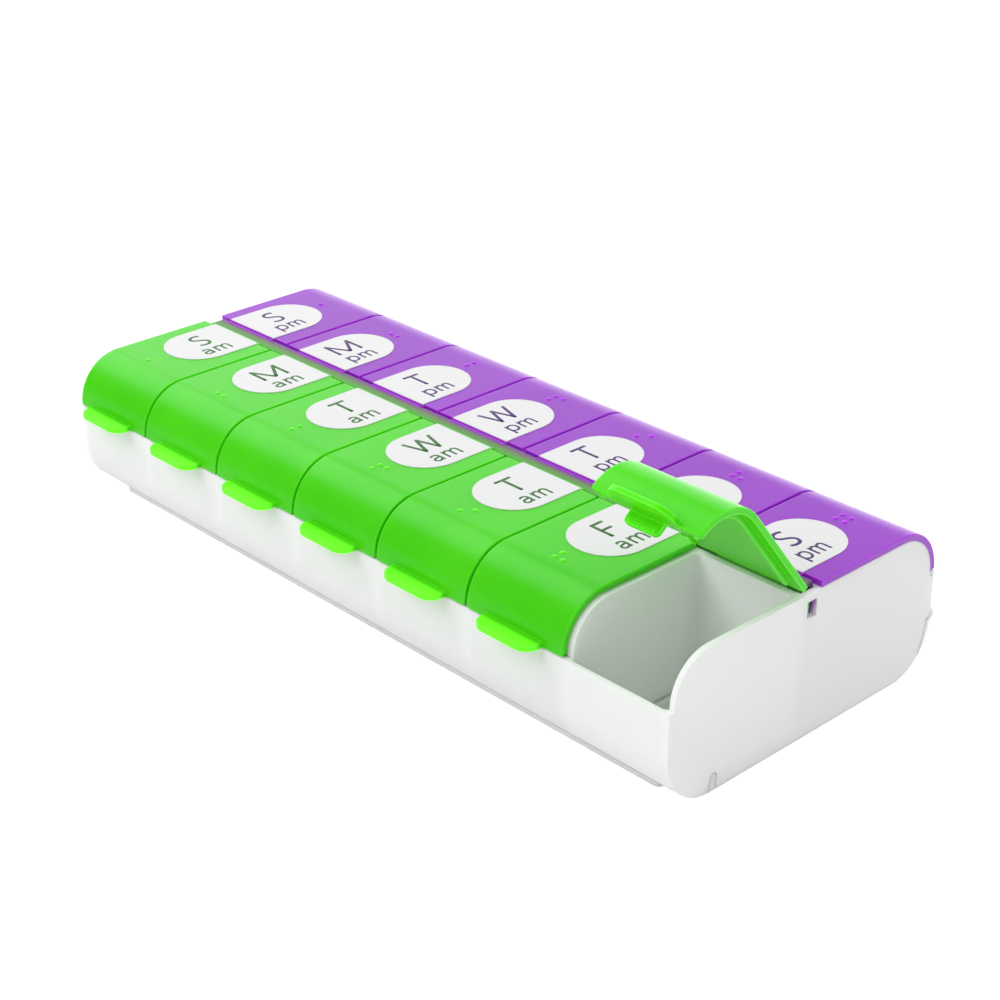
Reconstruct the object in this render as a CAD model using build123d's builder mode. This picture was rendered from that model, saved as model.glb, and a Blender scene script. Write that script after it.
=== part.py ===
from build123d import *
import os
from math import sqrt

# Weekly pill organizer: seven days along X, a morning row in front (-Y) and an evening row
# behind (+Y). Millimetres, +Z up, origin at the centre of the underside.

# The days from -X to +X, and the one lid that stands open at rest.
DAYS = ["sunday", "monday", "tuesday", "wednesday", "thursday", "friday", "saturday"]
OPEN_LID = "saturday_am"
open_angle = 52.0

# Outer form.
day_pitch = 32.0
end_trim = 0.8
body_width = 92.5
body_height = 39.5
edge_radius = 13.0
foot_radius = 14.2

# Tray.
outer_wall = 1.0
end_wall = 1.6
partition_wall = 2.0
pocket_near = 4.4
pocket_corner_radius = 1.2
channel_half = 2.5
channel_depth = 7.0
channel_floor_thickness = 1.5
window_width = 3.3
window_height = 4.3
window_drop = 3.75
flange_thickness = 2.0

# Lids.
lid_thickness = 1.6
lid_gap = 0.8
lid_seat_gap = 0.1
lid_edge_run = 0.4
lid_rear_offset = 2.6
lid_rear_setback = 0.5
lid_edge_softening = 0.3
lid_corner_radius = 0.8
rib_thickness = 1.0
rib_depth = 1.6
rib_clearance = 0.5
rib_rear_offset = 7.2
tab_width = 18.7
tab_reach = 5.0
tab_thickness = 1.4
tab_corner_radius = 4.0
tab_edge_softening = 0.4
tongue_width = 9.8
tongue_thickness = 1.1
tongue_length = 3.2
tongue_setback = 2.1
tongue_root_height = 1.25
tongue_corner_radius = 1.2
tongue_bead_radius = 0.5
tongue_bead_drop = 2.2
catch_reach = 0.4
catch_height = 0.9
catch_drop = 0.45
catch_width = 12.0

# Lid hinges: a bead on the lid turns in a half-round seat on the strip.
hinge_offset = 2.0
hinge_drop = 0.4
bead_radius = 0.6
hinge_clearance = 0.05
web_thickness = 0.7
seat_lip_drop = 0.4
seat_block_drop = 1.5
seat_block_near = 1.2
seat_end_gap = 0.2
strip_drop = 0.4
strip_thickness = 1.2
strip_edge_offset = 2.2
strip_end_gap = 0.6
strip_joint_top = 0.9
strip_joint_foot = -0.3
strip_joint_gap = 0.1
leg_thickness = 1.05
leg_wall_gap = 0.05
am_leg_top = 1.42
am_leg_lean = 0.6
pm_leg_lean = 1.9
tenon_setback = 0.3
tenon_clearance = 0.15

# Labels and the raised dots beyond them. The lids, with label, tab and tongue, stand a
# little off the middle of their compartments.
feature_shift = -0.35
label_width = 20.2
label_reach = 25.6
label_edge_gap = 0.15
label_thickness = 0.4
label_recess = 0.2
dot_pitch = 2.6
dot_radius = 1.0
dot_rise = 0.4
dot_cell_offset = 30.5
dot_cell_shift = -0.25

# Fill door, which closes the underside and turns about a line at mid-height behind.
door_thickness = 2.0
door_seat_gap = 0.05
door_side_gap = 0.35
door_end_gap = 0.3
door_hinge_offset = 46.9
door_bead_radius = 0.7
hinge_split = 0.35
hinge_lip_reach = 47.5
hinge_lip_height = 1.2
neck_depth = 1.0
neck_run_out = 0.2
skirt_thickness = 1.15
skirt_foot_height = 4.0
skirt_radius = 40.0
hook_front = 32.6
hook_radius = 0.8
hook_height = 4.2
hook_lean = 0.8
hook_clearance = 0.25
pull_half_length = 102.8
pull_reach = 39.4
pull_base = 0.3
pull_thickness = 1.2
pull_clearance = 0.6
pull_corner_radius = 1.5
pad_height = 1.2
pad_clearance = 0.4
pad_rim = 1.2
pad_corner_radius = 2.0

# Worked out from the values above.
day_count = len(DAYS)
body_length = day_count * day_pitch - 2 * end_trim
half_length = body_length / 2
half_width = body_width / 2
inner_half_length = half_length - end_wall
corner_centre = half_width - edge_radius
pocket_far = half_width - outer_wall
pocket_middle = (pocket_near + pocket_far) / 2
lid_edge_height = body_height - edge_radius - lid_edge_run
tray_top_inset = lid_thickness + lid_seat_gap
wall_top = lid_edge_height - lid_seat_gap
channel_floor_height = body_height - channel_depth
window_middle = body_height - window_drop - window_height / 2
strip_top_height = body_height - strip_drop
strip_underside = strip_top_height - strip_thickness
strip_half_length = inner_half_length - strip_end_gap
tenon_half_length = half_length - tenon_setback
hinge_height = strip_top_height - hinge_drop
seat_lip_height = hinge_height - seat_lip_drop
seat_block_base = hinge_height - seat_block_drop
label_near_edge = lid_rear_offset + label_edge_gap
tongue_face = half_width - tongue_setback
tongue_tip = lid_edge_height - tongue_length
door_seat_height = door_thickness + door_seat_gap
door_seat_side = half_width - door_thickness - door_side_gap
shell_top = edge_radius
wall_foot = shell_top + door_side_gap
door_hinge_height = wall_foot + hinge_split
lip_foot = door_hinge_height + hinge_split
recess_height = pull_base + pull_thickness + pull_clearance
flange_top = recess_height + flange_thickness
hook_rear = hook_front - hook_lean - 2 * hook_radius
beyond = body_width
day_centres = [(index - (day_count - 1) / 2) * day_pitch for index in range(day_count)]


def day_limits(index, gap, end, shift=0):
    """Low and high X of a day's stretch, narrowed by a gap and cut off at the object's ends."""
    low = max(day_centres[index] + shift - (day_pitch - gap) / 2, -end)
    high = min(day_centres[index] + shift + (day_pitch - gap) / 2, end)
    return low, high


def outer_outline(inset, mode=Mode.ADD):
    """Rounded outline of the closed organizer, drawn in by an inset on every side."""
    width = body_width - 2 * inset
    height = body_height - 2 * inset
    with Locations((0, body_height / 2)):
        RectangleRounded(width, height, edge_radius - inset, mode=mode)


def am_pocket(low, high):
    """Space of a morning compartment, which the front flange and the rounded corner narrow."""
    corner_radius = foot_radius - outer_wall
    flange_edge = half_width - foot_radius + sqrt(corner_radius**2 - (foot_radius - flange_top)**2)
    with BuildPart() as space:
        with BuildSketch(Plane.YZ.offset(low)):
            with BuildLine():
                Polyline(
                    (-flange_edge, flange_top),
                    (hook_lean - hook_front, flange_top),
                    (hook_lean - hook_front, 0),
                    (-pocket_near, 0),
                    (-pocket_near, 2 * body_height),
                    (-pocket_far, 2 * body_height),
                    (-pocket_far, foot_radius),
                )
                RadiusArc((-pocket_far, foot_radius), (-flange_edge, flange_top), -corner_radius)
            make_face()
        extrude(amount=high - low)
        with BuildSketch(Plane.XY):
            with Locations(((low + high) / 2, -pocket_middle)):
                RectangleRounded(high - low, pocket_far - pocket_near, pocket_corner_radius)
        extrude(amount=2 * body_height, mode=Mode.INTERSECT)
    return space.part


# Section of the door's hook: an upstanding lip with a rounded head.
with BuildSketch() as hook:
    head_height = hook_height - hook_radius
    head_front = hook_lean - hook_front
    with BuildLine():
        Line((-hook_front, 0), (head_front, head_height))
        ThreePointArc(
            (head_front, head_height),
            (head_front + hook_radius, hook_height),
            (-hook_rear, head_height),
        )
        Polyline((-hook_rear, head_height), (-hook_rear, 0), (-hook_front, 0))
    make_face()


def skirt_space(gap):
    """Everything outside the skirt's inner face, which runs from the hinge to the outer corner."""
    foot_height = skirt_foot_height - gap
    foot = corner_centre + sqrt(edge_radius**2 - (edge_radius - foot_height)**2) - gap
    crown = half_width - skirt_thickness - gap
    with BuildSketch() as space:
        with BuildLine():
            RadiusArc((crown, shell_top), (foot, foot_height), skirt_radius)
            Polyline(
                (foot, foot_height),
                (beyond, foot_height),
                (beyond, shell_top),
                (crown, shell_top),
            )
        make_face()
    return space.sketch


with BuildPart() as compartment_tray:
    with BuildSketch(Plane.YZ.offset(-half_length)):
        outer_outline(0)
    extrude(amount=body_length)
    # The foot of the front wall is rounder than the other corners.
    with BuildSketch(Plane.YZ.offset(-half_length)):
        with BuildLine():
            RadiusArc((-half_width, foot_radius), (foot_radius - half_width, 0), -foot_radius)
            Polyline(
                (foot_radius - half_width, 0),
                (foot_radius - half_width, -beyond),
                (-beyond, -beyond),
                (-beyond, foot_radius),
                (-half_width, foot_radius),
            )
        make_face()
    extrude(amount=body_length, mode=Mode.SUBTRACT)
    # Hinge lip along the back.
    with BuildSketch(Plane.YZ.offset(-half_length)):
        Polygon(
            (pocket_far, door_hinge_height),
            (hinge_lip_reach, door_hinge_height),
            (hinge_lip_reach, lip_foot + hinge_lip_height / 2),
            (half_width, lip_foot + 2 * hinge_lip_height),
            (pocket_far, lip_foot + 2 * hinge_lip_height),
            align=None,
        )
    extrude(amount=body_length)
    # Room for the lids above the walls.
    with BuildSketch(Plane.YZ.offset(-half_length)):
        with Locations((0, wall_top + body_height / 2)):
            Rectangle(2 * body_width, body_height)
        outer_outline(tray_top_inset, Mode.SUBTRACT)
    extrude(amount=body_length, mode=Mode.SUBTRACT)
    # Compartments, and the drop of the front and back walls to their lower top edges.
    for index in range(day_count):
        low, high = day_limits(index, partition_wall, inner_half_length)
        middle = (low + high) / 2
        add(am_pocket(low, high), mode=Mode.SUBTRACT)
        with BuildSketch(Plane.XY):
            with Locations((middle, pocket_middle)):
                RectangleRounded(high - low, pocket_far - pocket_near, pocket_corner_radius)
            with Locations((middle, 0)):
                Rectangle(high - low, 2 * channel_half)
        extrude(amount=channel_floor_height - channel_floor_thickness, mode=Mode.SUBTRACT)
        with BuildSketch(Plane.XY):
            with Locations((middle, pocket_middle)):
                RectangleRounded(high - low, pocket_far - pocket_near, pocket_corner_radius)
        extrude(amount=2 * body_height, mode=Mode.SUBTRACT)
        with BuildSketch(Plane.XY.offset(wall_top)):
            with Locations((middle, -half_width), (middle, half_width)):
                Rectangle(high - low, 2 * edge_radius)
        extrude(amount=body_height, mode=Mode.SUBTRACT)
    # Channel for the hinge strips, with a window through each end wall.
    with BuildSketch(Plane.XY.offset(channel_floor_height)):
        Rectangle(2 * inner_half_length, 2 * channel_half)
    extrude(amount=body_height, mode=Mode.SUBTRACT)
    with Locations(
        (half_length, 0, window_middle),
        (-half_length, 0, window_middle),
    ):
        Box(2 * end_wall, window_width, window_height, mode=Mode.SUBTRACT)
    # Catch ridges for the lids' tongues.
    with BuildSketch(Plane.YZ) as catch:
        crest = pocket_far - catch_reach
        catch_top = wall_top - catch_drop
        Polygon(
            (pocket_far + catch_reach, catch_top - catch_height),
            (pocket_far, catch_top - catch_height),
            (crest, catch_top - catch_height / 2),
            (pocket_far, catch_top),
            (pocket_far + catch_reach, catch_top),
            align=None,
        )
        mirror(about=Plane.XZ)
    for centre in day_centres:
        with Locations((centre + feature_shift, 0, 0)):
            add(extrude(catch.sketch, amount=catch_width / 2, both=True, mode=Mode.PRIVATE))
    # Seat of the door between the end walls.
    with BuildSketch(Plane.YZ.offset(-inner_half_length)):
        with BuildLine():
            Polyline(
                (door_seat_side, edge_radius),
                (door_seat_side, wall_foot),
                (beyond, wall_foot),
                (beyond, -beyond),
                (-hook_rear, -beyond),
                (-hook_rear, door_seat_height),
                (corner_centre, door_seat_height),
            )
            RadiusArc((corner_centre, door_seat_height), (door_seat_side, edge_radius), -edge_radius)
        make_face()
    extrude(amount=2 * inner_half_length, mode=Mode.SUBTRACT)
    # Slots right through both ends for the door's hook, skirt and bead.
    with BuildSketch(Plane.YZ.offset(-half_length)):
        add(hook.sketch)
        offset(amount=hook_clearance)
        with Locations((-(hook_front + hook_rear) / 2, -hook_height)):
            Rectangle(hook_front - hook_rear + 2 * hook_clearance, 2 * hook_height)
        add(skirt_space(door_side_gap))
        with Locations((half_width - skirt_thickness - door_side_gap, shell_top)):
            Rectangle(beyond, wall_foot - shell_top, align=Align.MIN)
        with Locations((door_hinge_offset, shell_top)):
            Rectangle(beyond, lip_foot - shell_top, align=Align.MIN)
        with Locations((door_hinge_offset, door_hinge_height)):
            Circle(door_bead_radius + hinge_clearance)
    extrude(amount=body_length, mode=Mode.SUBTRACT)
    # Recess of the finger pull, under the front flange.
    with BuildSketch(Plane.XY.offset(recess_height)):
        with Locations((0, hook_lean - hook_front)):
            Rectangle(
                2 * (pull_half_length + pull_clearance),
                edge_radius,
                align=(Align.CENTER, Align.MAX),
            )
    extrude(amount=-body_height, mode=Mode.SUBTRACT)


with BuildPart() as fill_door:
    # Plate and back shell, between the tray's end walls.
    with BuildSketch(Plane.YZ.offset(door_end_gap - inner_half_length)):
        outer_outline(0)
        outer_outline(door_thickness, Mode.SUBTRACT)
        with Locations((-hook_rear, 0)):
            Rectangle(beyond, shell_top, align=Align.MIN, mode=Mode.INTERSECT)
    extrude(amount=2 * (inner_half_length - door_end_gap))
    # Hook, skirt and hinge bead, which run the whole length.
    with BuildSketch(Plane.YZ.offset(-half_length)):
        add(skirt_space(0))
        outer_outline(0, Mode.INTERSECT)
        add(hook.sketch)
        with Locations((door_hinge_offset, door_hinge_height)):
            Circle(door_bead_radius)
        Polygon(
            (door_hinge_offset, door_hinge_height),
            (half_width, wall_foot - 2 * hinge_clearance),
            (half_width - skirt_thickness / 2, shell_top),
            (half_width - skirt_thickness / 2, shell_top - neck_depth),
            (half_width - skirt_thickness / 4, shell_top - neck_depth - neck_run_out),
            (door_hinge_offset, door_hinge_height - door_bead_radius),
            align=None,
        )
    extrude(amount=body_length)
    # Finger pull along the front.
    with BuildSketch(Plane.XY.offset(pull_base)) as pull:
        with Locations((0, -(pull_reach + hook_rear) / 2)):
            Rectangle(2 * pull_half_length, pull_reach - hook_rear)
        fillet(pull.vertices().group_by(Axis.Y)[0], pull_corner_radius)
    extrude(amount=pull_thickness)
    # Raised rims that reach into the compartments from below.
    for index in range(day_count):
        low, high = day_limits(index, partition_wall, inner_half_length)
        for near, far in ((-hook_rear + pad_clearance, -pocket_near - pad_clearance),
                          (pocket_near + pad_clearance, corner_centre)):
            width = high - low - 2 * pad_clearance
            with BuildSketch(Plane.XY.offset(door_thickness)):
                with Locations(((low + high) / 2, (near + far) / 2)):
                    RectangleRounded(width, far - near, pad_corner_radius)
                    RectangleRounded(
                        width - 2 * pad_rim,
                        far - near - 2 * pad_rim,
                        pad_corner_radius - pad_rim,
                        mode=Mode.SUBTRACT,
                    )
            extrude(amount=pad_height)


def hinge_strip(joint_shift, leg_top, leg_lean, side):
    """One colour's strip: a top plate with hinge seats on its side and a leg down the channel."""
    joint_top = strip_joint_top + joint_shift
    joint_foot = strip_joint_foot + joint_shift
    with BuildSketch() as leg:
        Polygon(
            (leg_top, strip_underside + strip_thickness / 3),
            (leg_top + leg_thickness, strip_underside + strip_thickness / 3),
            (leg_top + leg_thickness, strip_underside),
            (leg_top + leg_thickness - leg_lean, channel_floor_height),
            (leg_top - leg_lean, channel_floor_height),
            (leg_top, strip_underside),
            align=None,
        )
    with BuildPart() as strip:
        with BuildSketch(Plane.YZ.offset(-strip_half_length)):
            Polygon(
                (joint_top, strip_top_height),
                (side * strip_edge_offset, strip_top_height),
                (side * strip_edge_offset, strip_underside),
                (joint_foot, strip_underside),
                align=None,
            )
            add(leg.sketch)
        extrude(amount=2 * strip_half_length)
        # Ends of the leg, which reach into the windows of both end walls.
        with BuildSketch(Plane.YZ.offset(-tenon_half_length)):
            add(leg.sketch)
            with Locations((0, window_middle)):
                Rectangle(
                    window_width - 2 * tenon_clearance,
                    window_height - 2 * tenon_clearance,
                    mode=Mode.INTERSECT,
                )
        extrude(amount=2 * tenon_half_length)
        for day_centre in day_centres:
            block_far = channel_half - leg_wall_gap
            centre = day_centre + feature_shift
            with BuildSketch(Plane.YZ.offset(centre - label_width / 2)):
                with Locations((side * (seat_block_near + block_far) / 2,
                                (seat_block_base + seat_lip_height) / 2)):
                    Rectangle(block_far - seat_block_near, seat_lip_height - seat_block_base)
            extrude(amount=label_width)
            with BuildSketch(Plane.YZ.offset(centre - label_width / 2 - seat_end_gap)):
                with Locations((side * hinge_offset, hinge_height)):
                    Circle(bead_radius + hinge_clearance)
            extrude(amount=label_width + 2 * seat_end_gap, mode=Mode.SUBTRACT)
    return strip.part


am_hinge_strip = hinge_strip(-strip_joint_gap / 2, -am_leg_top, am_leg_lean, -1)
pm_leg_top = channel_half - leg_wall_gap - leg_thickness
pm_hinge_strip = hinge_strip(strip_joint_gap / 2, pm_leg_top, pm_leg_lean, 1)


def label_outline(centre):
    """A label's outline: straight beside the hinge, round at the far end."""
    radius = label_width / 2
    straight = label_reach - radius - label_near_edge
    with Locations((centre, label_near_edge)):
        Rectangle(label_width, straight, align=(Align.CENTER, Align.MIN))
    with Locations((centre, label_near_edge + straight)):
        Circle(radius)


def make_label(index):
    """Printed film of an evening lid, which stands a little proud of its recess."""
    with BuildPart() as label:
        with BuildSketch(Plane.XY.offset(body_height - label_recess)):
            label_outline(day_centres[index] + feature_shift)
        extrude(amount=label_thickness)
    return label.part


def make_lid(index):
    """Evening lid: top and rounded front, side ribs, finger tab, tongue and hinge bead."""
    centre = day_centres[index] + feature_shift
    low, high = day_limits(index, lid_gap, half_length, feature_shift)
    rib_low, rib_high = day_limits(index, partition_wall, inner_half_length)
    margin = lid_thickness / 4
    with BuildPart() as lid:
        with BuildSketch(Plane.YZ.offset(low)):
            outer_outline(0)
            outer_outline(lid_thickness, Mode.SUBTRACT)
            with Locations((lid_rear_offset, lid_edge_height)):
                Rectangle(beyond, beyond, align=Align.MIN, mode=Mode.INTERSECT)
        extrude(amount=high - low)
        fillet(lid.edges().filter_by(Axis.Y).group_by(Axis.Z)[0], lid_corner_radius)
        rims = lid.edges().filter_by(Axis.X, reverse=True).filter_by(
            lambda edge: edge.geom_type == GeomType.CIRCLE and edge.radius > edge_radius - margin
            or edge.geom_type == GeomType.LINE and edge.center().Z > body_height - margin
        )
        fillet(rims, lid_edge_softening)
        # Rear edge, set back on both sides of the hinge.
        with BuildSketch(Plane.XY.offset(body_height - 2 * lid_thickness)):
            with GridLocations(label_width + day_pitch, 1, 2, 1):
                with Locations((centre, lid_rear_offset)):
                    Rectangle(day_pitch, 2 * lid_rear_setback)
        extrude(amount=4 * lid_thickness, mode=Mode.SUBTRACT)
        for start in (rib_low + rib_clearance, rib_high - rib_clearance - rib_thickness):
            with BuildSketch(Plane.YZ.offset(start)):
                outer_outline(lid_thickness / 2)
                outer_outline(lid_thickness + rib_depth, Mode.SUBTRACT)
                with Locations((rib_rear_offset, lid_edge_height)):
                    Rectangle(beyond, beyond, align=Align.MIN, mode=Mode.INTERSECT)
            extrude(amount=rib_thickness)
        # Finger tab.
        tab_inside = lid_thickness / 2
        with BuildSketch(Plane.XY.offset(lid_edge_height)) as tab:
            with Locations((centre, half_width - tab_inside)):
                Rectangle(tab_width, tab_reach + tab_inside, align=(Align.CENTER, Align.MIN))
            fillet(tab.vertices().group_by(Axis.Y)[-1], tab_corner_radius)
        extrude(amount=tab_thickness)
        tab_top = lid_edge_height + tab_thickness
        fillet(
            lid.edges().filter_by_position(Axis.Z, tab_top - margin, tab_top + margin)
            .filter_by_position(Axis.Y, half_width, half_width + tab_reach),
            tab_edge_softening,
        )
        # Tongue, which snaps behind the tray's catch ridge.
        with BuildSketch(Plane.XZ.offset(-tongue_face)) as tongue:
            with Locations((centre, tongue_tip)):
                Rectangle(
                    tongue_width,
                    tongue_length + tongue_root_height,
                    align=(Align.CENTER, Align.MIN),
                )
            fillet(tongue.vertices().group_by(Axis.Y)[0], tongue_corner_radius)
        extrude(amount=tongue_thickness)
        with BuildSketch(Plane.XY.offset(lid_edge_height)):
            with Locations((centre, tongue_face - tongue_thickness)):
                Rectangle(
                    tongue_width,
                    tongue_thickness + tongue_setback - lid_thickness / 2,
                    align=(Align.CENTER, Align.MIN),
                )
        extrude(amount=tongue_root_height)
        with Locations((centre, tongue_face, lid_edge_height - tongue_bead_drop)):
            Cylinder(
                tongue_bead_radius,
                tongue_width - 2 * tongue_corner_radius,
                rotation=(0, 90, 0),
            )
        # Hinge bead and its web.
        with Locations((centre, hinge_offset, hinge_height)):
            Cylinder(bead_radius, label_width, rotation=(0, 90, 0))
            Box(
                label_width,
                lid_rear_offset - hinge_offset + lid_thickness / 2,
                web_thickness,
                align=(Align.CENTER, Align.MIN, Align.CENTER),
            )
        # Recess of the label.
        with BuildSketch(Plane.XY.offset(body_height - label_recess)):
            label_outline(centre)
        extrude(amount=lid_thickness, mode=Mode.SUBTRACT)
    return lid.part


# Raised cells that number the days: steps along -X, then along +Y, from the first dot.
DOT_CELLS = [
    ((0, 0),),
    ((0, 0), (1, 0)),
    ((0, 0), (0, 1)),
    ((0, 0), (0, 1), (1, 1)),
    ((0, 0), (1, 1)),
    ((0, 0), (1, 0), (0, 1)),
    ((0, 0), (1, 0), (0, 1), (1, 1)),
]


def add_dots(lid, index, side):
    """The lid with its day's raised dots, domes on the flat top beyond the label."""
    sphere_height = body_height + dot_rise - dot_radius
    with BuildPart() as dotted:
        add(lid)
        for down, across in DOT_CELLS[index]:
            place = (
                day_centres[index] + feature_shift + dot_cell_shift + (down - 0.5) * dot_pitch,
                side * dot_cell_offset + (across - 0.5) * dot_pitch,
                sphere_height,
            )
            with Locations(place):
                Sphere(dot_radius, arc_size1=0, align=(Align.CENTER, Align.CENTER, Align.MIN))
    return dotted.part


def turned_open(shape):
    """A morning lid's shape at the angle at which it stands open."""
    axis = Axis((0, -hinge_offset, hinge_height), (-1, 0, 0))
    return shape.rotate(axis, open_angle)


# Every lid and label, the morning row mirrored from the evening row.
pieces = {}
for index, day in enumerate(DAYS):
    evening_lid = make_lid(index)
    evening_label = make_label(index)
    for row, side in (("am", -1), ("pm", 1)):
        name = f"{day}_{row}"
        if side > 0:
            lid, label = evening_lid, evening_label
        else:
            lid, label = evening_lid.mirror(Plane.XZ), evening_label.mirror(Plane.XZ)
        lid = add_dots(lid, index, side)
        if name == OPEN_LID:
            lid, label = turned_open(lid), turned_open(label)
        pieces[f"{name}_lid"] = lid
        pieces[f"{name}_label"] = label

pieces["compartment_tray"] = compartment_tray.part
pieces["fill_door"] = fill_door.part
pieces["am_hinge_strip"] = am_hinge_strip
pieces["pm_hinge_strip"] = pm_hinge_strip

os.makedirs("parts", exist_ok=True)
for name, piece in pieces.items():
    piece.label = name
    export_step(piece, f"parts/{name}.step")
    print(name, len(piece.solids()), round(piece.volume, 1), piece.bounding_box())
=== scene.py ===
import logging
import math
from dataclasses import dataclass, replace
from enum import Enum

import bmesh
import bpy
from mathutils import Matrix, Vector


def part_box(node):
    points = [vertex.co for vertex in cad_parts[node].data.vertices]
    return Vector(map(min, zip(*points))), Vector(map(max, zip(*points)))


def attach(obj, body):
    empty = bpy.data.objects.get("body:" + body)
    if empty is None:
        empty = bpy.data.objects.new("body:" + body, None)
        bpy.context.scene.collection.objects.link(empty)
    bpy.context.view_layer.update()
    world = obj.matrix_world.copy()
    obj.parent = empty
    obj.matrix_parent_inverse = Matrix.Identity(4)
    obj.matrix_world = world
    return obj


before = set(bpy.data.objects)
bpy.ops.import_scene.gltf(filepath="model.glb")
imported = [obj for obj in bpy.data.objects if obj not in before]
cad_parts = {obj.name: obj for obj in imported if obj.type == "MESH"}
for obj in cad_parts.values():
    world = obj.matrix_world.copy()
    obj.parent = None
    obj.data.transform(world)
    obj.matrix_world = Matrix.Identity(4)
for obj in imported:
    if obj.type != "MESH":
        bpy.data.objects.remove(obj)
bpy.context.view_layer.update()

log = logging.getLogger("pill_organizer")

MM = 0.001
PLASTIC_IOR = 1.46
FILM_IOR = 1.45

# Nearly all of a noise's values lie between these two.
NOISE_VALLEY = 0.3
NOISE_PEAK = 0.7

# Samples of the bevel nodes.
SOFTENING_SAMPLES = 6
EDGE_SAMPLES = 4

# Axis of the lids' hinges, beside the middle, and the angle of the lid that stands open.
HINGE_OFFSET = 2.0 * MM
HINGE_HEIGHT = 38.7 * MM
OPEN_ANGLE = math.radians(52)

Triple = tuple[float, float, float]
Colour = Triple
Point = tuple[float, float]
Ramp = tuple[Point, Point]


class Row(Enum):
    """A row of compartments, by the word printed on its labels."""

    AM = "am"
    PM = "pm"

    @property
    def side(self) -> int:
        """Sign of Y on this row's side of the hinge strips."""
        return -1 if self is Row.AM else 1


class Day(Enum):
    """A day of the week, with the capital printed for it.

    A space behind the capital tells two days with the same capital apart.
    """

    SUNDAY = "S"
    MONDAY = "M"
    TUESDAY = "T"
    WEDNESDAY = "W"
    THURSDAY = "T "
    FRIDAY = "F"
    SATURDAY = "S "

    @property
    def capital(self) -> str:
        """The printed capital."""
        return self.value.strip()

    @property
    def node_prefix(self) -> str:
        """The day as the frame's node names write it."""
        return self.name.lower()


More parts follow.
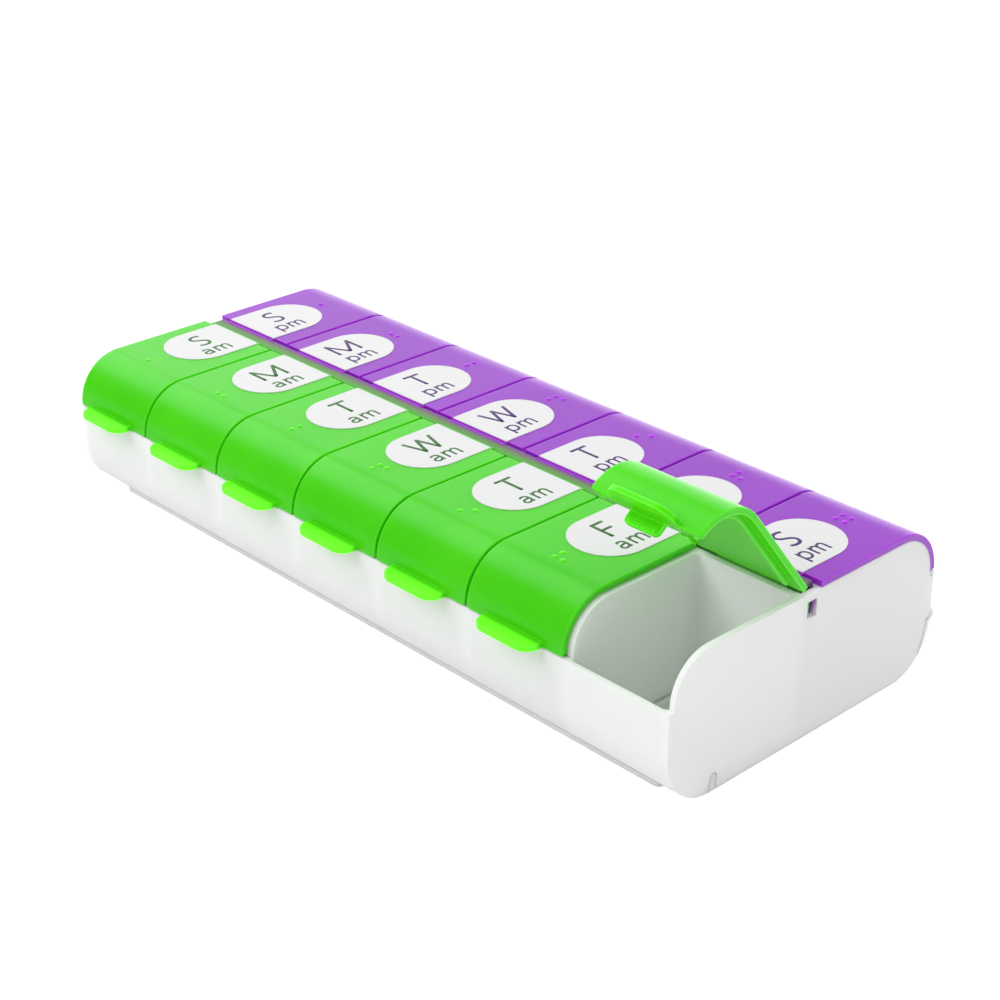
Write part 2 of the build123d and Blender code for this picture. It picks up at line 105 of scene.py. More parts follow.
class Graph:
    """A material's node tree, filled one node at a time."""

    def __init__(self, name: str) -> None:
        """Start an empty material.

        Args:
            name: Name of the material.
        """
        self.material = bpy.data.materials.new(name)
        self.material.use_nodes = True
        self.tree = self.material.node_tree
        self.tree.nodes.clear()
        self.coordinates = self.add("ShaderNodeTexCoord")

    def add(self, kind: str, settings: dict | None = None, **values: object) -> bpy.types.Node:
        """Add a node.

        Args:
            kind: Blender's name of the node type.
            settings: Properties of the node itself.
            **values: Input sockets by name, with underscores for spaces; a socket is linked
                and anything else becomes the input's own value.

        Returns:
            The new node.
        """
        node = self.tree.nodes.new(kind)
        for name, value in (settings or {}).items():
            setattr(node, name, value)
        for name, value in values.items():
            socket = next(s for s in node.inputs if s.name == name.replace("_", " ") and s.enabled)
            if isinstance(value, bpy.types.NodeSocket):
                self.tree.links.new(value, socket)
            else:
                socket.default_value = value
        return node

    def maths(self, operation: str, *values: object) -> bpy.types.NodeSocket:
        """Reckon with values or sockets.

        Args:
            operation: The node's operation.
            *values: Its inputs in order.

        Returns:
            The result.
        """
        node = self.add("ShaderNodeMath", {"operation": operation})
        for socket, value in zip(node.inputs, values):
            if isinstance(value, bpy.types.NodeSocket):
                self.tree.links.new(value, socket)
            else:
                socket.default_value = value
        return node.outputs[0]

    def noise(
        self, scale: float, detail: float = 2.0, stretch: Triple = (1, 1, 1)
    ) -> bpy.types.NodeSocket:
        """Noise on Object coordinates.

        Args:
            scale: Cells a metre.
            detail: Octaves.
            stretch: Scale of each axis, to draw the pattern out.

        Returns:
            The noise's value.
        """
        place = self.add(
            "ShaderNodeMapping", Vector=self.coordinates.outputs["Object"], Scale=stretch
        )
        return self.add(
            "ShaderNodeTexNoise", Vector=place.outputs["Vector"], Scale=scale, Detail=detail
        ).outputs["Fac"]

    def spread(self, value: bpy.types.NodeSocket, low: float, high: float) -> bpy.types.NodeSocket:
        """Spread a noise value between two numbers.

        Args:
            value: The noise.
            low: Result in the noise's valleys.
            high: Result on its peaks.

        Returns:
            The spread value.
        """
        return self.add(
            "ShaderNodeMapRange",
            {"clamp": False},
            Value=value,
            From_Min=NOISE_VALLEY,
            From_Max=NOISE_PEAK,
            To_Min=low,
            To_Max=high,
        ).outputs["Result"]

    def blend(
        self, share: bpy.types.NodeSocket, first: object, second: object
    ) -> bpy.types.NodeSocket:
        """Blend two colours, each of them written out or a socket.

        Args:
            share: Share of the second colour.
            first: Colour where the share is 0.
            second: Colour where it is 1.

        Returns:
            The blended colour.
        """
        node = self.add("ShaderNodeMix", {"data_type": "RGBA"})
        self.tree.links.new(share, node.inputs[0])
        for socket, colour in ((node.inputs[6], first), (node.inputs[7], second)):
            if isinstance(colour, bpy.types.NodeSocket):
                self.tree.links.new(colour, socket)
            else:
                socket.default_value = (*colour, 1)
        return node.outputs[2]

    def grain(
        self, scale: float, depth: float, softening: float = 0.0, detail: float = 3.0
    ) -> bpy.types.NodeSocket:
        """Normals of a fine moulded grain, over softened edges where they are asked for.

        Args:
            scale: Grains a metre.
            depth: Height of the grain.
            softening: Radius that the edges appear to have.
            detail: Octaves of the grain.

        Returns:
            The normal.
        """
        values = {"Height": self.noise(scale, detail), "Strength": 1.0, "Distance": depth}
        if softening > 0:
            edges = self.add("ShaderNodeBevel", {"samples": SOFTENING_SAMPLES}, Radius=softening)
            values["Normal"] = edges.outputs["Normal"]
        return self.add("ShaderNodeBump", **values).outputs["Normal"]

    def edges(self, reach: float, sharpness: float) -> bpy.types.NodeSocket:
        """Share that rises towards the outer edges of a piece.

        Args:
            reach: Distance from an edge at which the share begins.
            sharpness: Turn of the softened normal at which it is full.

        Returns:
            The share.
        """
        soft = self.add("ShaderNodeBevel", {"samples": EDGE_SAMPLES}, Radius=reach)
        true = self.add("ShaderNodeNewGeometry")
        dot = self.add("ShaderNodeVectorMath", {"operation": "DOT_PRODUCT"})
        self.tree.links.new(soft.outputs["Normal"], dot.inputs[0])
        self.tree.links.new(true.outputs["Normal"], dot.inputs[1])
        return self.add(
            "ShaderNodeMapRange",
            Value=dot.outputs["Value"],
            From_Min=1.0,
            From_Max=1.0 - sharpness,
        ).outputs["Result"]

    def surface(self, **values: object) -> bpy.types.Material:
        """Finish the material with one principled surface.

        Args:
            **values: The shader's inputs, as for add.

        Returns:
            The material.
        """
        shader = self.add(
            "ShaderNodeBsdfPrincipled", {"subsurface_method": "RANDOM_WALK"}, **values
        )
        output = self.add("ShaderNodeOutputMaterial")
        self.tree.links.new(shader.outputs["BSDF"], output.inputs["Surface"])
        return self.material


@dataclass(frozen=True)
class TranslucentPlastic:
    """Tinted see-through plastic, with a painted glow on its thin tab and a painted highlight and
    glow on its edges and raised dots, standing in for the light it pipes.

    Places are those of the closed lid; opened and hinge say how the dressed lid was turned from
    there. Scales are cells a metre.
    """

    name: str
    colour: Colour
    pale: Colour
    scatter: Colour
    # The glow colour and the tab, body and edge glows set a painted glow; the edge colour and its
    # share set a painted highlight.
    painted_glow_colour: Colour
    tab_painted_glow: float
    edge_highlight_colour: Colour
    body_painted_glow: float = 0.0
    edge_painted_glow: float = 0.12
    gloss: float = 0.42
    roughness: Point = (0.29, 0.315)
    scatter_share: float = 0.6
    scatter_depth: float = 2.6 * MM
    flow_scale: float = 45.0
    flow_stretch: Triple = (1.0, 0.35, 1.0)
    gloss_scale: float = 50.0
    flow_detail: float = 0.5
    wave_scale: float = 40.0
    wave_depth: float = 0.012 * MM
    edge_reach: float = 0.7 * MM
    edge_turn: float = 0.25
    edge_highlight_share: float = 0.7
    dot_foot: float = 39.54 * MM
    dot_top: float = 39.9 * MM
    opened: float = 0.0
    hinge: Point = (0.0, 0.0)
    tab_start: float = 46.3 * MM
    tab_end: float = 48.8 * MM

    def closed_place(self, graph: Graph) -> bpy.types.NodeSocket:
        """Object coordinates as they are on the closed lid.

        Args:
            graph: The material under construction.

        Returns:
            The coordinates.
        """
        pivot = Vector((0, *self.hinge))
        shift = pivot - Matrix.Rotation(self.opened, 3, "X") @ pivot
        return graph.add(
            "ShaderNodeMapping",
            Vector=graph.coordinates.outputs["Object"],
            Location=shift,
            Rotation=(self.opened, 0, 0),
        ).outputs["Vector"]

    def material(self) -> bpy.types.Material:
        """Build the material.

        Returns:
            The material.
        """
        graph = Graph(self.name)
        flow = graph.spread(graph.noise(self.flow_scale, self.flow_detail, self.flow_stretch), 0, 1)
        split = graph.add("ShaderNodeSeparateXYZ", Vector=self.closed_place(graph))
        reach = graph.maths("ABSOLUTE", split.outputs["Y"])
        # Painted glow on the thin tab: this mask rises along the tab's reach and feeds the
        # emission.
        tab = graph.add(
            "ShaderNodeMapRange",
            {"interpolation_type": "SMOOTHSTEP"},
            Value=reach,
            From_Min=self.tab_start,
            From_Max=self.tab_end,
            To_Min=0.0,
            To_Max=self.tab_painted_glow,
        )
        # Painted highlight on the raised dots: by their height above the lid's face they get the
        # same pale edge colour and painted glow as the edges.
        dot_highlight = graph.add(
            "ShaderNodeMapRange",
            Value=split.outputs["Z"],
            From_Min=self.dot_foot,
            From_Max=self.dot_top,
        )
        # Painted highlight on the edges: the base colour turns towards a bright edge colour there,
        # and they get a painted glow as well.
        edges = graph.edges(self.edge_reach, self.edge_turn)
        painted_highlight = graph.maths("MAXIMUM", edges, dot_highlight.outputs["Result"])
        body = graph.blend(flow, self.colour, self.pale)
        highlighted = graph.blend(graph.maths("MULTIPLY", painted_highlight, self.edge_highlight_share), body, self.edge_highlight_colour)
        glow = graph.maths("MAXIMUM", tab.outputs["Result"], self.body_painted_glow)
        gloss = graph.noise(self.gloss_scale, self.flow_detail)
        return graph.surface(
            Base_Color=highlighted,
            Roughness=graph.spread(gloss, *self.roughness),
            IOR=PLASTIC_IOR,
            Specular_IOR_Level=self.gloss,
            Subsurface_Weight=self.scatter_share,
            Subsurface_Radius=self.scatter,
            Subsurface_Scale=self.scatter_depth,
            # Painted glow: emission on the tab, over the whole opened lid, and on the edges and
            # raised dots.
            Emission_Color=(*self.painted_glow_colour, 1),
            Emission_Strength=graph.maths(
                "ADD", glow, graph.maths("MULTIPLY", painted_highlight, self.edge_painted_glow)
            ),
            Normal=graph.grain(self.wave_scale, self.wave_depth, detail=0.0),
        )


@dataclass(frozen=True)
class StripPlastic:
    """Plastic of a hinge strip, whose colour turns into its neighbour's over the slanted joint."""

    name: str
    outer: Colour
    joint: Colour
    outer_reach: float
    joint_reach: float
    scatter: Colour
    plate_foot: float = 37.85 * MM
    plate_base: float = 37.95 * MM
    gloss_scale: float = 160.0
    grain_scale: float = 1400.0
    grain_depth: float = 0.004 * MM
    gloss: float = 0.25
    roughness: Point = (0.29, 0.32)
    scatter_share: float = 0.5
    scatter_depth: float = 1.5 * MM

    def material(self) -> bpy.types.Material:
        """Build the material.

        Returns:
            The material.
        """
        graph = Graph(self.name)
        split = graph.add("ShaderNodeSeparateXYZ", Vector=graph.coordinates.outputs["Object"])
        share = graph.add(
            "ShaderNodeMapRange",
            {"interpolation_type": "SMOOTHSTEP"},
            Value=split.outputs["Y"],
            From_Min=self.outer_reach,
            From_Max=self.joint_reach,
        )
        plate = graph.add(
            "ShaderNodeMapRange",
            Value=split.outputs["Z"],
            From_Min=self.plate_foot,
            From_Max=self.plate_base,
        )
        on_plate = graph.maths("MULTIPLY", share.outputs["Result"], plate.outputs["Result"])
        return graph.surface(
            Base_Color=graph.blend(on_plate, self.outer, self.joint),
            Roughness=graph.spread(graph.noise(self.gloss_scale), *self.roughness),
            IOR=PLASTIC_IOR,
            Specular_IOR_Level=self.gloss,
            Subsurface_Weight=self.scatter_share,
            Subsurface_Radius=self.scatter,
            Subsurface_Scale=self.scatter_depth,
            Normal=graph.grain(self.grain_scale, self.grain_depth),
        )


@dataclass(frozen=True)
class MouldedPlastic:
    """Opaque moulded plastic with a fine spark-eroded grain."""

    name: str
    colour: Colour
    shade: Colour
    roughness: Point
    softening: float = 0.3 * MM
    cloud_scale: float = 30.0
    cloud_detail: float = 3.0
    gloss_scale: float = 240.0
    grain_scale: float = 2600.0
    grain_depth: float = 0.008 * MM
    gloss: float = 0.4
    scatter_share: float = 0.5
    scatter_depth: float = 3.0 * MM

    def material(self) -> bpy.types.Material:
        """Build the material.

        Returns:
            The material.
        """
        graph = Graph(self.name)
        clouds = graph.spread(graph.noise(self.cloud_scale, self.cloud_detail), 0, 1)
        return graph.surface(
            Base_Color=graph.blend(clouds, self.colour, self.shade),
            Roughness=graph.spread(graph.noise(self.gloss_scale), *self.roughness),
            IOR=PLASTIC_IOR,
            Specular_IOR_Level=self.gloss,
            Subsurface_Weight=self.scatter_share,
            Subsurface_Radius=(1.0, 1.0, 1.0),
            Subsurface_Scale=self.scatter_depth,
            Normal=graph.grain(self.grain_scale, self.grain_depth, self.softening),
        )


@dataclass(frozen=True)
class PrintedFilm:
    """Satin film or ink, with the faint mottling of a print."""

    name: str
    colour: Colour
    mottle: Colour
    roughness: Point
    mottle_scale: float = 900.0
    mottle_detail: float = 4.0
    gloss_scale: float = 500.0
    grain_scale: float = 3500.0
    grain_depth: float = 0.004 * MM
    softening: float = 0.12 * MM
    gloss: float = 0.35

    def material(self) -> bpy.types.Material:
        """Build the material.

        Returns:
            The material.
        """
        graph = Graph(self.name)
        spots = graph.spread(graph.noise(self.mottle_scale, self.mottle_detail), 0, 1)
        return graph.surface(
            Base_Color=graph.blend(spots, self.colour, self.mottle),
            Roughness=graph.spread(graph.noise(self.gloss_scale), *self.roughness),
            IOR=FILM_IOR,
            Specular_IOR_Level=self.gloss,
            Normal=graph.grain(self.grain_scale, self.grain_depth, self.softening),
        )


# Its tab glow and edge glow are a painted glow, and its edge colour is a painted highlight.
GREEN_PLASTIC = TranslucentPlastic(
    "green_translucent_plastic",
    colour=(0.058, 0.61, 0.001),
    pale=(0.075, 0.65, 0.003),
    scatter=(0.35, 1.0, 0.12),
    painted_glow_colour=(0.2, 1.0, 0.02),
    tab_painted_glow=0.5,
    edge_highlight_colour=(0.14, 1.0, 0.03),
)
# The opened lid: a painted glow all over its body, standing in for the light that reaches it from
# both sides, and a weaker painted glow on its tab.
OPEN_GREEN_PLASTIC = replace(
    GREEN_PLASTIC,
    name="green_translucent_plastic_opened",
    opened=OPEN_ANGLE,
    hinge=(-HINGE_OFFSET, HINGE_HEIGHT),
    body_painted_glow=0.06,
    tab_painted_glow=0.16,
    gloss=0.28,
)
# Its tab glow and edge glow are a painted glow, and its edge colour is a painted highlight.
PURPLE_PLASTIC = TranslucentPlastic(
    "purple_translucent_plastic",
    colour=(0.28, 0.026, 0.52),
    pale=(0.305, 0.033, 0.555),
    scatter=(0.9, 0.25, 1.0),
    painted_glow_colour=(0.5, 0.08, 1.0),
    tab_painted_glow=0.15,
    edge_highlight_colour=(0.6, 0.03, 0.95),
    edge_painted_glow=0.16,
)
GREEN_STRIP = StripPlastic(
    "green_strip_plastic",
    outer=(0.055, 0.4, 0.02),
    joint=(0.16, 0.19, 0.11),
    outer_reach=-2.2 * MM,
    joint_reach=0.9 * MM,
    scatter=GREEN_PLASTIC.scatter,
)
PURPLE_STRIP = StripPlastic(
    "purple_strip_plastic",
    outer=(0.2, 0.058, 0.3),
    joint=(0.155, 0.145, 0.17),
    outer_reach=2.2 * MM,
    joint_reach=0.6 * MM,
    scatter=PURPLE_PLASTIC.scatter,
)
WHITE_PLASTIC = MouldedPlastic(
    "white_moulded_plastic",
    colour=(0.95, 0.95, 0.95),
    shade=(0.935, 0.935, 0.935),
    roughness=(0.36, 0.45),
)
# The door is of the tray's white plastic, painted a shade darker to stand in for the shade on the
# finger pull under the front.
SHADED_DOOR_PLASTIC = MouldedPlastic(
    "door_plastic_painted_shade",
    colour=(0.9, 0.9, 0.905),
    shade=(0.88, 0.88, 0.885),
    roughness=(0.38, 0.47),
)
LABEL_FILM = PrintedFilm(
    "white_label_film", colour=(0.76, 0.76, 0.765), mottle=(0.74, 0.74, 0.745), roughness=(0.3, 0.4)
)
GREEN_INK = PrintedFilm(
    "green_print", colour=(0.022, 0.15, 0.01), mottle=(0.028, 0.18, 0.014), roughness=(0.36, 0.46)
)
PURPLE_INK = PrintedFilm(
    "purple_print", colour=(0.07, 0.02, 0.15), mottle=(0.085, 0.026, 0.18), roughness=(0.36, 0.46)
)


def dress(node: str, material: bpy.types.Material) -> None:
    """Give a CAD node its material.

    Args:
        node: Name of the CAD node.
        material: The material for all of its slots.
    """
    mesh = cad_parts[node].data
    mesh.materials.clear()
    mesh.materials.append(material)
    log.info("%s has %s", node, material.name)


# Strokes of the letters, as centre lines in millimetres. Each letter stands on its baseline
# about X = 0: capitals 7.5 mm high, small letters 3.7 mm.
STROKES: dict[str, list[list[Point]]] = {
    "S": [[(1.75, 6.75), (0.45, 7.15), (-1.1, 6.8), (-1.75, 5.6), (-1.1, 4.5), (0.3, 3.75),
           (1.45, 2.95), (1.9, 1.85), (1.3, 0.72), (-0.1, 0.33), (-1.9, 0.8)]],
    "M": [[(-3.8, 0.0), (-3.8, 7.5)], [(3.8, 0.0), (3.8, 7.5)],
          [(-3.8, 7.4), (0.06, 0.3)], [(3.8, 7.4), (-0.06, 0.3)]],
    "T": [[(-2.6, 7.18), (2.6, 7.18)], [(0.0, 0.0), (0.0, 7.3)]],
    "W": [[(-4.3, 7.5), (-2.12, 0.0)], [(-2.28, 0.0), (0.06, 7.3)],
          [(-0.06, 7.3), (2.28, 0.0)], [(2.12, 0.0), (4.3, 7.5)]],
    "F": [[(-1.65, 0.0), (-1.65, 7.5)], [(-1.8, 7.18), (1.95, 7.18)], [(-1.8, 3.85), (1.7, 3.85)]],
    "a": [[(-1.1, 3.05), (-0.1, 3.48), (0.85, 3.1), (1.1, 2.2), (1.1, 1.2), (1.1, 0.0)],
          [(1.1, 2.1), (0.1, 2.0), (-0.95, 1.6), (-1.2, 0.95), (-0.75, 0.35), (0.1, 0.3),
           (1.1, 1.05)]],
    "m": [[(-2.1, 0.0), (-2.1, 3.75)],
          [(-2.1, 2.5), (-1.6, 3.15), (-0.9, 3.47), (-0.2, 3.1), (0.0, 2.3), (0.0, 1.2),
           (0.0, 0.0)],
          [(0.0, 2.5), (0.5, 3.15), (1.2, 3.47), (1.9, 3.1), (2.1, 2.3), (2.1, 1.2), (2.1, 0.0)]],
    "p": [[(-1.3, -1.3), (-1.3, 3.75)],
          [(-1.3, 2.5), (-0.7, 3.2), (0.15, 3.47), (1.05, 3.0), (1.4, 1.85), (1.1, 0.75),
           (0.2, 0.25), (-0.7, 0.4), (-1.3, 1.1)]],
}


@dataclass(frozen=True)
class Lettering:
    """A label's print: the day's capital above the row's two small letters.

    All of its sizes are millimetres. The baselines are counted along X from the label's middle, the
    letters' common middle is a place on Y, and the small letters are counted along Y from there.
    """

    day: Day
    row: Row
    capital_stroke: float = 0.95
    small_stroke: float = 0.7
    print_height: float = 0.05
    capital_base: float = 1.0
    small_base: float = 7.25
    first_small: float = -2.95
    second_small: float = 2.05
    am_middle: float = -13.6
    pm_middle: float = 12.5
    stroke_facets: int = 2
    curve_steps: int = 5
    weld: float = 0.002

    @property
    def middle(self) -> float:
        """Y of the letters' common middle."""
        return self.am_middle if self.row is Row.AM else self.pm_middle

    def write(self, letter: str, stroke: float, at: Point) -> bmesh.types.BMesh:
        """Draw one letter flat, in millimetres, with its baseline along Y.

        Args:
            letter: The letter.
            stroke: Width of its strokes.
            at: X of the baseline and Y of the letter's middle.

        Returns:
            The letter's mesh.
        """
        curve = bpy.data.curves.new(f"letter_{letter}", "CURVE")
        curve.dimensions = "3D"
        curve.bevel_depth = stroke / 2
        curve.bevel_resolution = self.stroke_facets
        curve.use_fill_caps = True
        curve.resolution_u = self.curve_steps
        for line in STROKES[letter]:
            spline = curve.splines.new("BEZIER")
            spline.bezier_points.add(len(line) - 1)
            for point, (x, y) in zip(spline.bezier_points, line):
                point.co = (at[0] - y, at[1] + x, 0)
                point.handle_left_type = point.handle_right_type = "AUTO"
        holder = bpy.data.objects.new("letter", curve)
        mesh = bpy.data.meshes.new_from_object(holder)
        letters = bmesh.new()
        letters.from_mesh(mesh)
        bpy.data.objects.remove(holder)
        bpy.data.curves.remove(curve)
        bpy.data.meshes.remove(mesh)
        bmesh.ops.scale(letters, vec=(1, 1, self.print_height / stroke), verts=letters.verts)
        return letters

    def mesh(self, label_middle: float, film_top: float) -> bmesh.types.BMesh:
        """Draw all three letters on the closed lid.

        Args:
            label_middle: X of the label's middle in metres.
            film_top: Z of the film's face in metres.

        Returns:
            The print, in metres.
        """
        first, second = self.row.value
        capital_at = (self.capital_base, self.middle)
        first_at = (self.small_base, self.middle + self.first_small)
        second_at = (self.small_base, self.middle + self.second_small)
        letters = [
            self.write(self.day.capital, self.capital_stroke, capital_at),
            self.write(first, self.small_stroke, first_at),
            self.write(second, self.small_stroke, second_at),
        ]
        whole = bmesh.new()
        for letter in letters:
            part = bpy.data.meshes.new("part")
            letter.to_mesh(part)
            whole.from_mesh(part)
            letter.free()
            bpy.data.meshes.remove(part)
        bmesh.ops.remove_doubles(whole, verts=whole.verts, dist=self.weld)
        bmesh.ops.scale(whole, vec=(MM, MM, MM), verts=whole.verts)
        bmesh.ops.translate(whole, vec=(label_middle, 0, film_top), verts=whole.verts)
        return whole


@dataclass(frozen=True)
class DayLid:
    """One lid with its label and print."""

    day: Day
    row: Row

    @property
    def name(self) -> str:
        """Common beginning of this lid's node names."""
        return f"{self.day.node_prefix}_{self.row.value}"

    @property
    def stands_open(self) -> bool:
        """Whether this is the lid that stands open at rest."""
        return self.day is Day.SATURDAY and self.row is Row.AM

    def print_label(self, ink: bpy.types.Material) -> bpy.types.Object:
        """Make the print that lies on the label.

        Args:
            ink: Material of the letters.

        Returns:
            The print's object.
        """
        # The evening labels all lie closed, so each gives its day's middle and the height of both.
        closed = f"{self.day.node_prefix}_{Row.PM.value}_label"
        low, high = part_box(closed)
        letters = Lettering(self.day, self.row).mesh((low.x + high.x) / 2, high.z)
        if self.stands_open:
            hinge = Vector((0, self.row.side * HINGE_OFFSET, HINGE_HEIGHT))
            turn = Matrix.Rotation(-OPEN_ANGLE, 3, "X")
            bmesh.ops.rotate(letters, cent=hinge, matrix=turn, verts=letters.verts)
        bmesh.ops.recalc_face_normals(letters, faces=letters.faces)
        mesh = bpy.data.meshes.new(f"{self.name}_lettering")
        letters.to_mesh(mesh)
        letters.free()
        mesh.materials.append(ink)
        mesh.shade_smooth()
        piece = bpy.data.objects.new(f"{self.name}_lettering", mesh)
        bpy.context.scene.collection.objects.link(piece)
        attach(piece, f"{self.name}_lid")
        return piece

    def build(
        self, plastic: bpy.types.Material, film: bpy.types.Material, ink: bpy.types.Material
    ) -> None:
        """Dress the lid and its label, and print the label.

        Args:
            plastic: Material of the lid.
            film: Material of the label.
            ink: Material of the letters.
        """
        dress(f"{self.name}_lid", plastic)
        dress(f"{self.name}_label", film)
        piece = self.print_label(ink)
        log.info("%s made", piece.name)


@dataclass(frozen=True)
class Housing:
    """The tray, its fill door and the two hinge strips, each with its finish."""

    tray: MouldedPlastic = WHITE_PLASTIC
    door: MouldedPlastic = SHADED_DOOR_PLASTIC
    am_strip: StripPlastic = GREEN_STRIP
    pm_strip: StripPlastic = PURPLE_STRIP

    def build(self) -> None:
        """Dress the housing's nodes."""
        dress("compartment_tray", self.tray.material())
        dress("fill_door", self.door.material())
        dress("am_hinge_strip", self.am_strip.material())
        dress("pm_hinge_strip", self.pm_strip.material())


@dataclass(frozen=True)
class Lamp:
    """A square soft lamp.

    Only a mirrored lamp shows in glossy surfaces.
    """

    name: str
    place: Triple
    target: Triple
    size: float
    power: float
    mirrored: bool = False

    def build(self) -> None:
        """Hang the lamp in its place, pointed at its target."""
        data = bpy.data.lights.new(self.name, "AREA")
        data.size = self.size
        data.energy = self.power
        lamp = bpy.data.objects.new(self.name, data)
        aim = (Vector(self.target) - Vector(self.place)).to_track_quat("-Z", "Y")
        lamp.matrix_world = Matrix.Translation(self.place) @ aim.to_matrix().to_4x4()
        lamp.visible_glossy = self.mirrored
        bpy.context.scene.collection.objects.link(lamp)


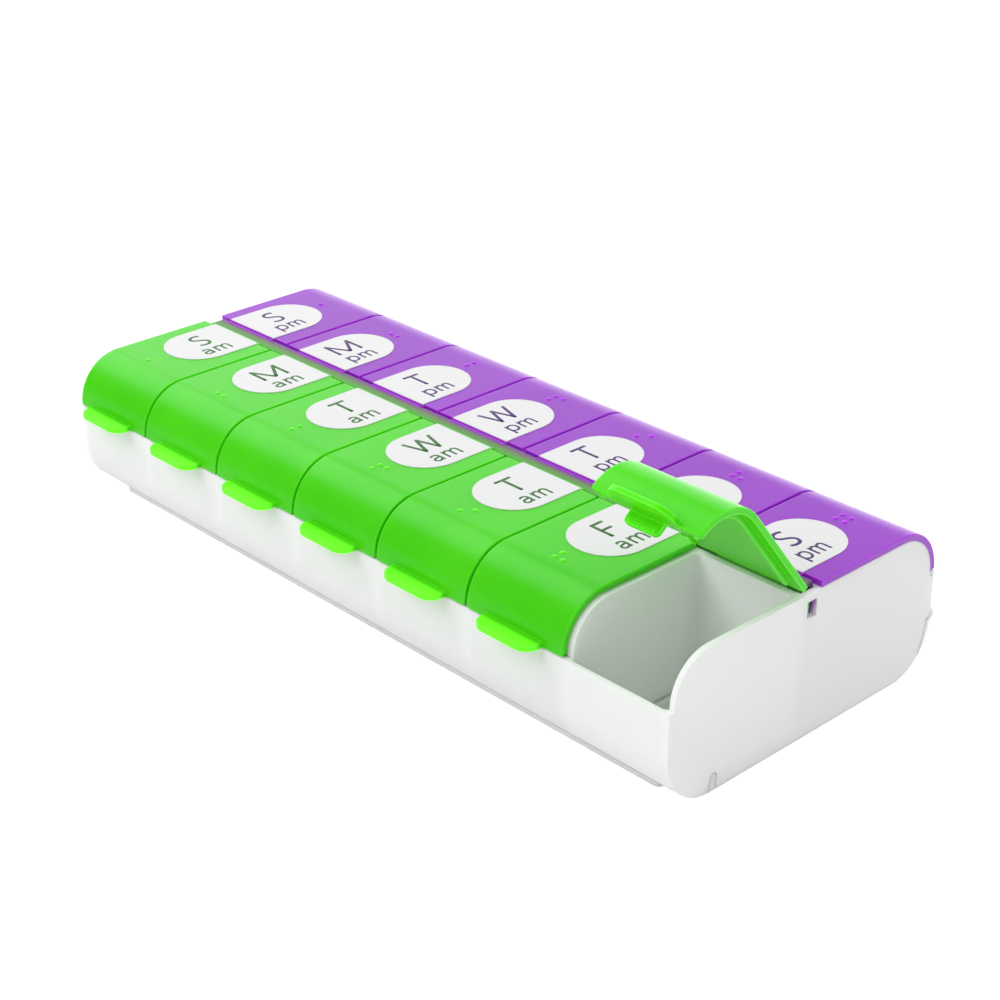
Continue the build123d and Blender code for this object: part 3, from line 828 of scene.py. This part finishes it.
@dataclass(frozen=True)
class Studio:
    """Pale floor, soft lamps and the camera.

    Angles are radians. Each ramp is two pairs of place and level, where the place is Z or Y of the
    mirrored direction in the surroundings and Y on the floor.
    """

    camera_place: Triple = (355.68 * MM, -323.93 * MM, 260.49 * MM)
    yaw: float = 0.8176
    pitch: float = 0.4629
    roll: float = -0.0044
    lens: float = 74.57
    sensor: float = 36.0
    clipping: Point = (0.01, 100.0)
    sky_strength: float = 0.665
    mirrored_rise: Ramp = ((0.34, 1.55), (0.54, 0.48))
    mirrored_depth: Ramp = ((-0.5, 0.04), (0.1, 1.0))
    floor_half: float = 6.0
    floor_drop: float = 0.05 * MM
    floor_glow: float = 0.72
    floor_strength: float = 1.25
    floor_shade: float = 0.84
    floor_mirrored: Ramp = ((-0.15, 0.55), (0.15, 1.9))
    lamps: tuple[Lamp, ...] = (
        Lamp("key_lamp", (-0.55, -0.9, 0.95), (0, 0, 0.02), 0.9, 7.4),
        Lamp("sheen_lamp", (-0.85, 0.0, 0.96), (0, 0, 0.04), 0.9, 3.8, mirrored=True),
        Lamp("back_lamp", (0.5, 0.9, 0.8), (0, 0, 0.02), 0.8, 3.4),
    )

    def camera(self) -> None:
        """Place the camera at the photograph's viewing angle."""
        data = bpy.data.cameras.new("camera")
        data.lens = self.lens
        data.sensor_width = self.sensor
        data.clip_start, data.clip_end = self.clipping
        camera = bpy.data.objects.new("camera", data)
        turn = (
            Matrix.Rotation(self.yaw, 4, "Z")
            @ Matrix.Rotation(math.pi / 2 - self.pitch, 4, "X")
            @ Matrix.Rotation(self.roll, 4, "Z")
        )
        camera.matrix_world = Matrix.Translation(self.camera_place) @ turn
        bpy.context.scene.collection.objects.link(camera)
        bpy.context.scene.camera = camera

    def world(self) -> None:
        """White surroundings, which light the object less than they show.

        In glossy surfaces they are bright low down and behind, and dim in front.
        """
        world = bpy.data.worlds.new("studio")
        bpy.context.scene.world = world
        world.use_nodes = True
        tree = world.node_tree
        tree.nodes.clear()
        path = tree.nodes.new("ShaderNodeLightPath")
        output = tree.nodes.new("ShaderNodeOutputWorld")
        place = tree.nodes.new("ShaderNodeTexCoord")
        split = tree.nodes.new("ShaderNodeSeparateXYZ")
        tree.links.new(place.outputs["Generated"], split.inputs[0])
        rise = self.ramp(tree, split.outputs["Z"], *self.mirrored_rise)
        depth = self.ramp(tree, split.outputs["Y"], *self.mirrored_depth)
        mirrored = tree.nodes.new("ShaderNodeMath")
        mirrored.operation = "MULTIPLY"
        tree.links.new(rise, mirrored.inputs[0])
        tree.links.new(depth, mirrored.inputs[1])
        shader = None
        for share, strength in (
            (None, self.sky_strength),
            (path.outputs["Is Glossy Ray"], mirrored.outputs[0]),
            (path.outputs["Is Camera Ray"], 1.0),
            (path.outputs["Is Transmission Ray"], 1.0),
        ):
            light = tree.nodes.new("ShaderNodeBackground")
            light.inputs["Color"].default_value = (1, 1, 1, 1)
            if isinstance(strength, float):
                light.inputs["Strength"].default_value = strength
            else:
                tree.links.new(strength, light.inputs["Strength"])
            if shader is None:
                shader = light
                continue
            mix = tree.nodes.new("ShaderNodeMixShader")
            tree.links.new(share, mix.inputs["Fac"])
            tree.links.new(shader.outputs[0], mix.inputs[1])
            tree.links.new(light.outputs[0], mix.inputs[2])
            shader = mix
        tree.links.new(shader.outputs[0], output.inputs["Surface"])

    @staticmethod
    def ramp(
        tree: bpy.types.NodeTree, value: bpy.types.NodeSocket, low: Point, high: Point
    ) -> bpy.types.NodeSocket:
        """Smooth step between two levels.

        Args:
            tree: The node tree.
            value: The socket to step along.
            low: Value and level at the beginning.
            high: Value and level at the end.

        Returns:
            The level.
        """
        node = tree.nodes.new("ShaderNodeMapRange")
        node.interpolation_type = "SMOOTHSTEP"
        tree.links.new(value, node.inputs["Value"])
        node.inputs["From Min"].default_value, node.inputs["To Min"].default_value = low
        node.inputs["From Max"].default_value, node.inputs["To Max"].default_value = high
        return node.outputs["Result"]

    def floor(self) -> None:
        """Pale floor, part glow and part shade, so that it shows white with a faint shadow.

        Glossy surfaces mirror it bright behind and dim in front. It is clear from beneath, so the
        underside can be looked at.
        """
        graph = Graph("studio_floor")
        paper = graph.add("ShaderNodeBsdfDiffuse", Color=(*[self.floor_shade] * 3, 1))
        path = graph.add("ShaderNodeLightPath")
        seen, mirrored = path.outputs["Is Camera Ray"], path.outputs["Is Glossy Ray"]
        split = graph.add("ShaderNodeSeparateXYZ", Vector=graph.coordinates.outputs["Object"])
        strength = graph.add(
            "ShaderNodeMapRange",
            Value=mirrored,
            To_Min=self.floor_strength,
            To_Max=self.ramp(graph.tree, split.outputs["Y"], *self.floor_mirrored),
        )
        glow = graph.add(
            "ShaderNodeEmission", Color=(1, 1, 1, 1), Strength=strength.outputs["Result"]
        )
        part = graph.maths("MAXIMUM", mirrored, graph.maths("MULTIPLY", seen, self.floor_glow))
        mix = graph.add("ShaderNodeMixShader")
        graph.tree.links.new(part, mix.inputs["Fac"])
        graph.tree.links.new(paper.outputs[0], mix.inputs[1])
        graph.tree.links.new(glow.outputs[0], mix.inputs[2])
        face = graph.add("ShaderNodeNewGeometry")
        clear = graph.add("ShaderNodeBsdfTransparent")
        below = graph.add("ShaderNodeMixShader")
        graph.tree.links.new(face.outputs["Backfacing"], below.inputs["Fac"])
        graph.tree.links.new(mix.outputs[0], below.inputs[1])
        graph.tree.links.new(clear.outputs[0], below.inputs[2])
        output = graph.add("ShaderNodeOutputMaterial")
        graph.tree.links.new(below.outputs[0], output.inputs["Surface"])
        sheet = bmesh.new()
        bmesh.ops.create_grid(sheet, x_segments=1, y_segments=1, size=self.floor_half)
        mesh = bpy.data.meshes.new("studio_floor")
        sheet.to_mesh(mesh)
        sheet.free()
        mesh.materials.append(graph.material)
        floor = bpy.data.objects.new("studio_floor", mesh)
        floor.location = (0, 0, -self.floor_drop)
        bpy.context.scene.collection.objects.link(floor)

    def build(self) -> None:
        """Set up the camera, the surroundings, the floor and the lamps."""
        bpy.context.scene.view_settings.view_transform = "Standard"
        self.camera()
        self.world()
        self.floor()
        for lamp in self.lamps:
            lamp.build()


def main() -> None:
    """Dress the frame, print the labels and set up the studio."""
    logging.basicConfig(level=logging.INFO)
    Studio().build()
    Housing().build()
    film = LABEL_FILM.material()
    plastics = {Row.AM: GREEN_PLASTIC.material(), Row.PM: PURPLE_PLASTIC.material()}
    opened = OPEN_GREEN_PLASTIC.material()
    inks = {Row.AM: GREEN_INK.material(), Row.PM: PURPLE_INK.material()}
    for day in Day:
        for row in Row:
            lid = DayLid(day, row)
            lid.build(opened if lid.stands_open else plastics[row], film, inks[row])


if __name__ == "__main__":
    main()
